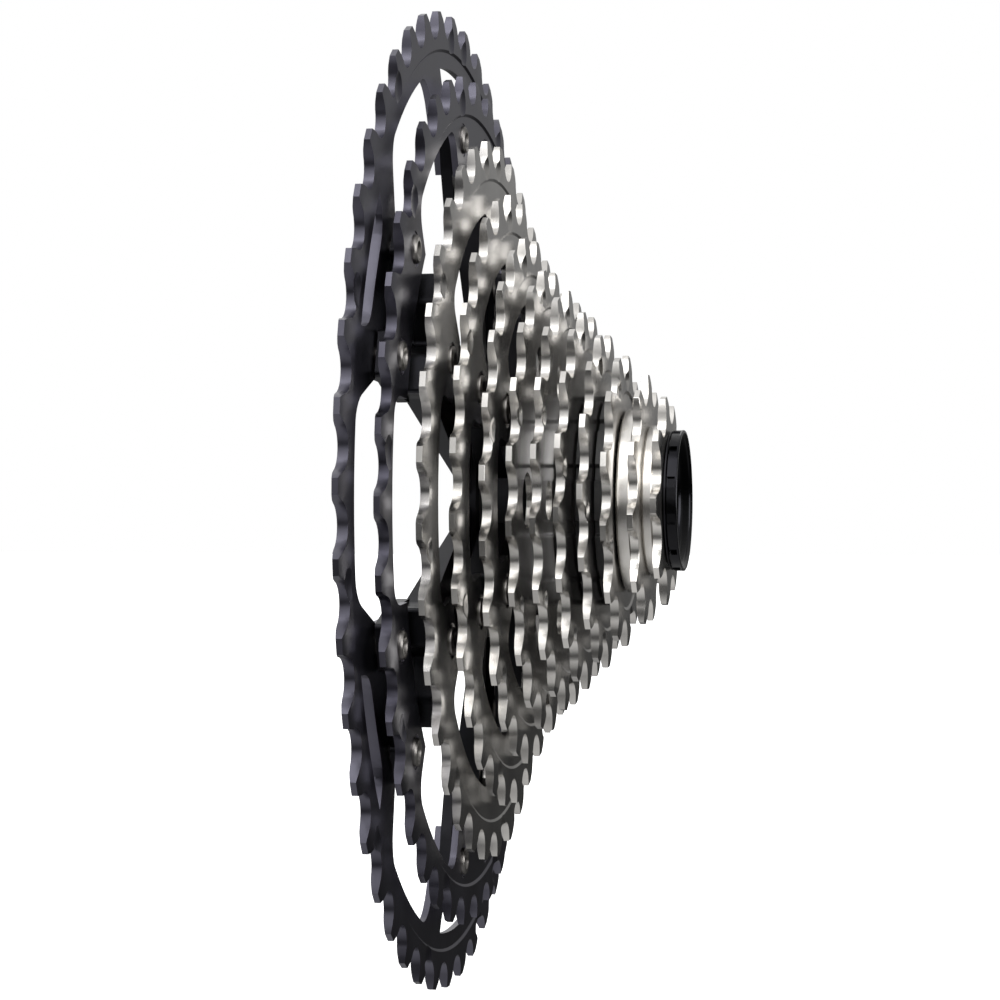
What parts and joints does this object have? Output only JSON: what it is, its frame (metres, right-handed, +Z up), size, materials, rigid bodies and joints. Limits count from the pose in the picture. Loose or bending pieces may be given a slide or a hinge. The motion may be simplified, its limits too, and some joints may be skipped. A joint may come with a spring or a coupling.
{
  "type": "bicycle cassette sprocket",
  "caption": "Cone-shaped stack of toothed chain sprockets on two spiders, with spacers and a lock ring, splined onto a bicycle freehub.",
  "frame": {"origin": "on the wheel axis, in the plane where the large spider's hub seats on the freehub's shoulder", "axes": "Y is the wheel axis, with the small end and the lock ring towards -Y and the spoke side towards +Y; Z is up"},
  "size_m": [0.1843, 0.0469, 0.1843],
  "materials": {
    "dark_alloy": "dark charcoal anodised, satin",
    "black_alloy": "black anodised, satin",
    "nickel_steel": "nickel plated, softly polished",
    "rivet_steel": "plain steel",
    "spacer_alloy": "plain silver alloy",
    "spacer_resin": "black moulded resin"
  },
  "bodies": {
    "large_carrier": {"large_spider": "black_alloy", "sprocket_45t": "dark_alloy", "sprocket_39t": "dark_alloy", "sprocket_33t": "nickel_steel", "large_rivet_1": "rivet_steel", "large_rivet_10": "rivet_steel", "large_rivet_11": "rivet_steel", "large_rivet_12": "rivet_steel", "large_rivet_2": "rivet_steel", "large_rivet_3": "rivet_steel", "large_rivet_4": "rivet_steel", "large_rivet_5": "rivet_steel", "large_rivet_6": "rivet_steel", "large_rivet_7": "rivet_steel", "large_rivet_8": "rivet_steel", "large_rivet_9": "rivet_steel", "rivet_33t_1": "rivet_steel", "rivet_33t_2": "rivet_steel", "rivet_33t_3": "rivet_steel", "rivet_33t_4": "rivet_steel", "rivet_33t_5": "rivet_steel", "rivet_33t_6": "rivet_steel"},
    "small_carrier": {"small_spider": "black_alloy", "sprocket_28t": "nickel_steel", "sprocket_24t": "nickel_steel", "rivet_24t_1": "rivet_steel", "rivet_24t_2": "rivet_steel", "rivet_24t_3": "rivet_steel", "rivet_24t_4": "rivet_steel", "rivet_24t_5": "rivet_steel", "rivet_24t_6": "rivet_steel", "rivet_28t_1": "rivet_steel", "rivet_28t_2": "rivet_steel", "rivet_28t_3": "rivet_steel", "rivet_28t_4": "rivet_steel", "rivet_28t_5": "rivet_steel", "rivet_28t_6": "rivet_steel"},
    "cog_21": {"sprocket_21t": "nickel_steel", "spacer_21t_19t": "spacer_alloy"},
    "cog_19": {"sprocket_19t": "nickel_steel", "spacer_19t_17t": "spacer_alloy"},
    "cog_17": {"sprocket_17t": "nickel_steel", "spacer_17t_15t": "spacer_resin"},
    "cog_15": {"sprocket_15t": "nickel_steel", "spacer_15t_13t": "spacer_resin"},
    "cog_13": {"sprocket_13t": "nickel_steel"},
    "cog_11": {"sprocket_11t": "nickel_steel"},
    "cog_9": {"sprocket_9t": "nickel_steel"},
    "washer": {"lock_ring_washer": "black_alloy"},
    "lock_ring": {"lock_ring": "black_alloy"}
  },
  "joints": [
    {"name": "small_carrier_slide", "type": "slide", "parent": "large_carrier", "child": "small_carrier", "axis": [0, -1, 0], "range_m": [0, 0.045]},
    {"name": "cog_21_slide", "type": "slide", "parent": "small_carrier", "child": "cog_21", "axis": [0, -1, 0], "range_m": [0, 0.045]},
    {"name": "cog_19_slide", "type": "slide", "parent": "cog_21", "child": "cog_19", "axis": [0, -1, 0], "range_m": [0, 0.045]},
    {"name": "cog_17_slide", "type": "slide", "parent": "cog_19", "child": "cog_17", "axis": [0, -1, 0], "range_m": [0, 0.045]},
    {"name": "cog_15_slide", "type": "slide", "parent": "cog_17", "child": "cog_15", "axis": [0, -1, 0], "range_m": [0, 0.045]},
    {"name": "cog_13_slide", "type": "slide", "parent": "cog_15", "child": "cog_13", "axis": [0, -1, 0], "range_m": [0, 0.045]},
    {"name": "cog_11_slide", "type": "slide", "parent": "cog_13", "child": "cog_11", "axis": [0, -1, 0], "range_m": [0, 0.045]},
    {"name": "cog_9_slide", "type": "slide", "parent": "cog_11", "child": "cog_9", "axis": [0, -1, 0], "range_m": [0, 0.045]},
    {"name": "washer_slide", "type": "slide", "parent": "cog_9", "child": "washer", "axis": [0, -1, 0], "range_m": [0, 0.02]},
    {"name": "lock_ring_turn", "type": "hinge", "parent": "washer", "child": "lock_ring", "pos_m": [0, -0.0388, 0], "axis": [0, -1, 0], "range_deg": [0, 1440]}
  ],
  "couplings": [
    {"joint": "washer_slide", "follows": "lock_ring_turn", "m_per_rad": 0.00015915}
  ]
}
